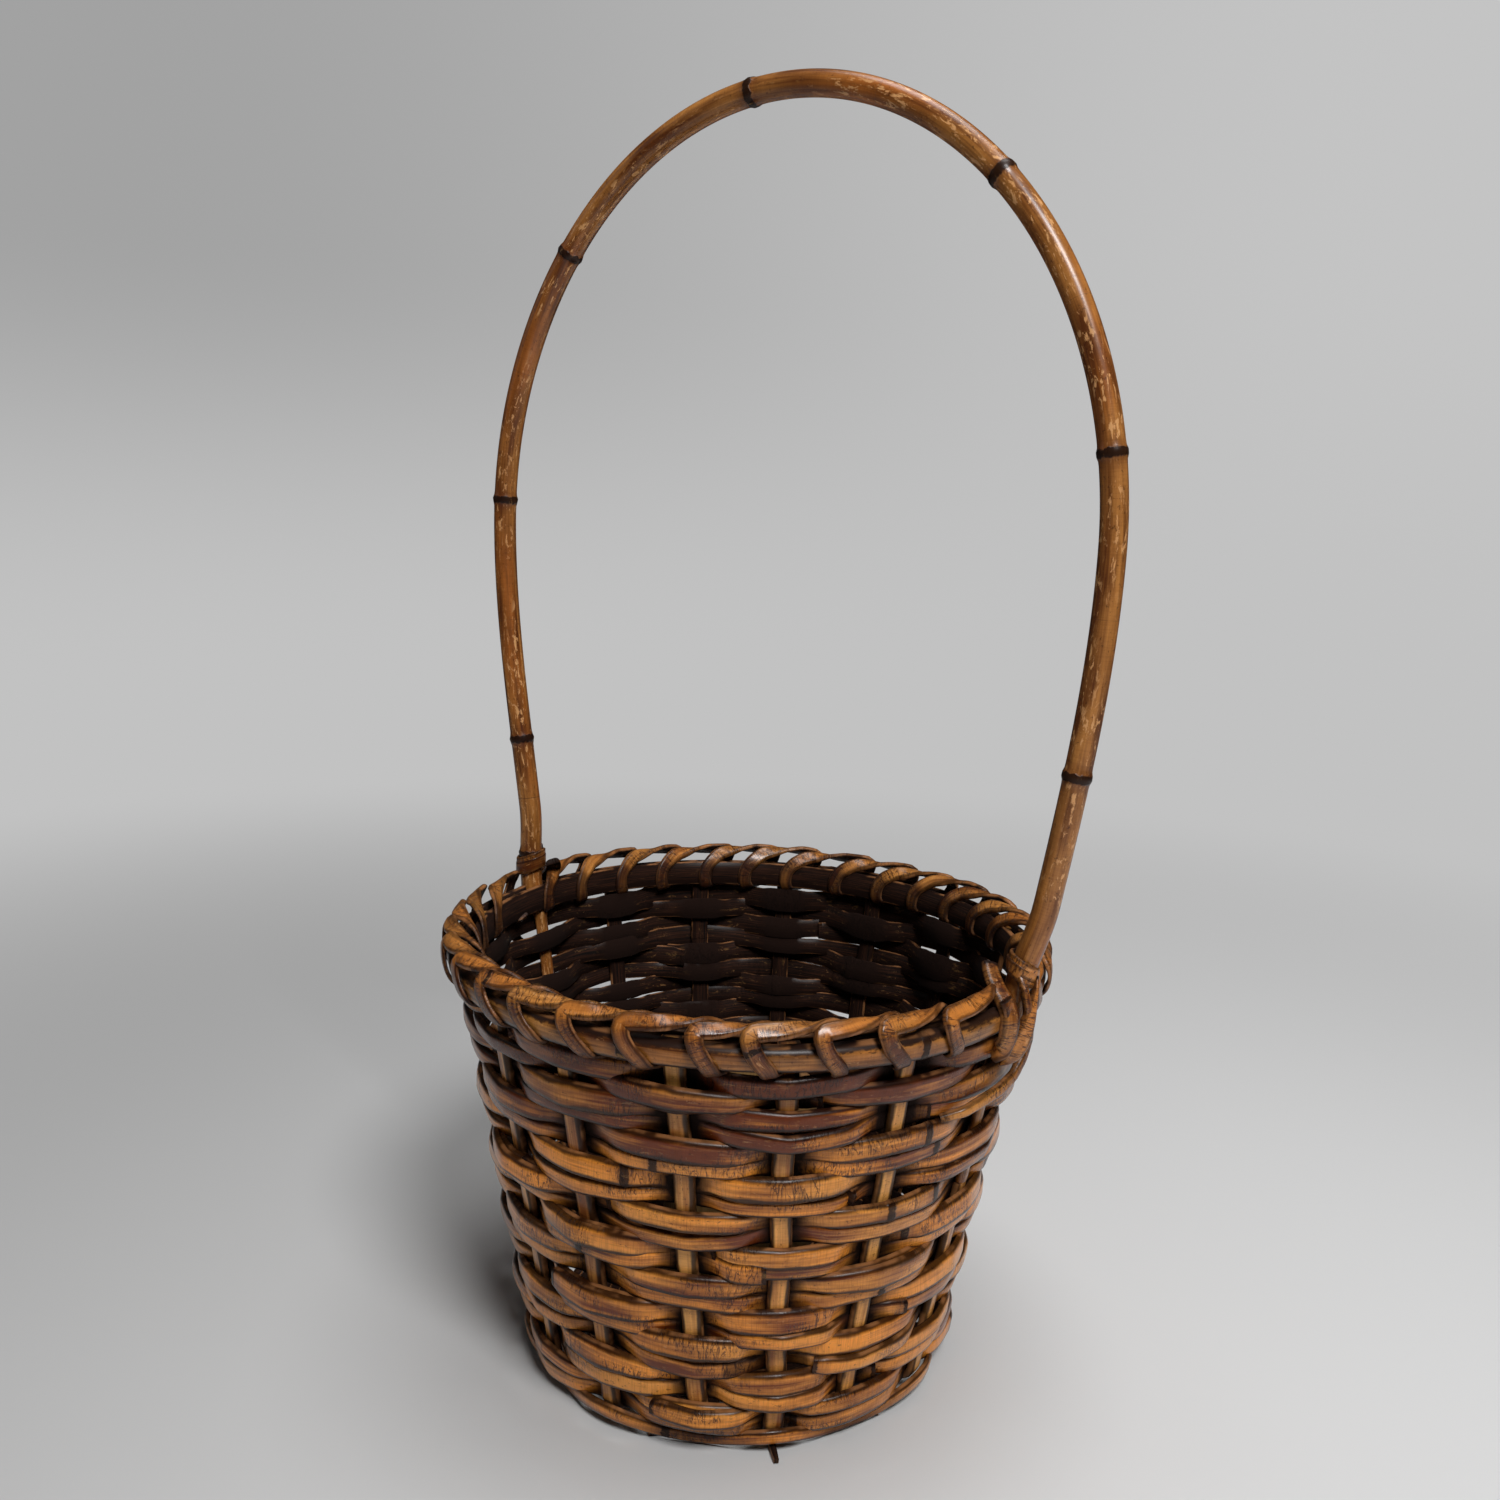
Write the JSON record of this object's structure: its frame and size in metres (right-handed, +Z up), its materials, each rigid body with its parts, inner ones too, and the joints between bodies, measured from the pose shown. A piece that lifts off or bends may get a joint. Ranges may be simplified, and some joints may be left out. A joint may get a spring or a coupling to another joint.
{
  "type": "ikebana basket",
  "caption": "Round woven flower basket with a tall arched culm handle, lashed rim hoops and a loose bamboo water tube inside.",
  "frame": {"origin": "centre of the middle base slat's underside, on the basket's axis, on the surface that it stands on", "axes": "+Z up; the handle's arch lies in the XZ plane; the basket's pictured front faces between -Y and +X"},
  "size_m": [0.2839, 0.2465, 0.5043],
  "materials": {
    "stake_cane": "smoked and oiled cane, golden brown, worn smooth",
    "weaver_cane": "smoked split cane, red brown, semi gloss skin",
    "base_cane": "smoked cane, matt brown",
    "slat_bamboo": "split bamboo, dark brown, matt",
    "hoop_cane": "half round cane, mottled golden brown, worn pale in patches",
    "inner_hoop_bamboo": "flat split bamboo, dark stained, long fibres",
    "lashing_strip": "flat cane strip, light brown, semi gloss",
    "handle_culm": "smoked bamboo culm, glossy brown with dark nodes",
    "tube_bamboo": "dry bamboo, matt, pale brown"
  },
  "bodies": {
    "root": {"stake_01": "stake_cane", "stake_02": "stake_cane", "stake_03": "stake_cane", "stake_04": "stake_cane", "stake_05": "stake_cane", "stake_06": "stake_cane", "stake_07": "stake_cane", "stake_08": "stake_cane", "stake_09": "stake_cane", "stake_10": "stake_cane", "stake_11": "stake_cane", "stake_12": "stake_cane", "stake_13": "stake_cane", "stake_14": "stake_cane", "stake_15": "stake_cane", "stake_16": "stake_cane", "weaver_01": "weaver_cane", "weaver_02": "weaver_cane", "weaver_03": "weaver_cane", "weaver_04": "weaver_cane", "weaver_05": "weaver_cane", "weaver_06": "weaver_cane", "weaver_07": "weaver_cane", "weaver_08": "weaver_cane", "weaver_09": "weaver_cane", "weaver_10": "weaver_cane", "weaver_11": "weaver_cane", "weaver_12": "weaver_cane", "weaver_13": "weaver_cane", "weaver_14": "weaver_cane", "weaver_15": "weaver_cane", "weaver_16": "weaver_cane", "weaver_17": "weaver_cane", "weaver_18": "weaver_cane", "weaver_19": "weaver_cane", "weaver_20": "weaver_cane", "weaver_21": "weaver_cane", "weaver_22": "weaver_cane", "foot_round": "weaver_cane", "base_round_1": "base_cane", "base_round_2": "base_cane", "base_round_3": "base_cane", "base_heart": "base_cane", "base_slat_1": "slat_bamboo", "base_slat_2": "slat_bamboo", "base_slat_3": "slat_bamboo", "handle": "handle_culm", "outer_hoop_back": "hoop_cane", "outer_hoop_front": "hoop_cane", "inner_hoop": "inner_hoop_bamboo", "rim_lashing_back": "lashing_strip", "rim_lashing_front": "lashing_strip", "foot_binding_left": "lashing_strip", "foot_binding_right": "lashing_strip"},
    "water_tube": {"water_tube": "tube_bamboo"}
  },
  "joints": [
    {"name": "water_tube_lift", "type": "slide", "parent": "root", "child": "water_tube", "axis": [0, 0, 1], "range_m": [0, 0.2]}
  ]
}
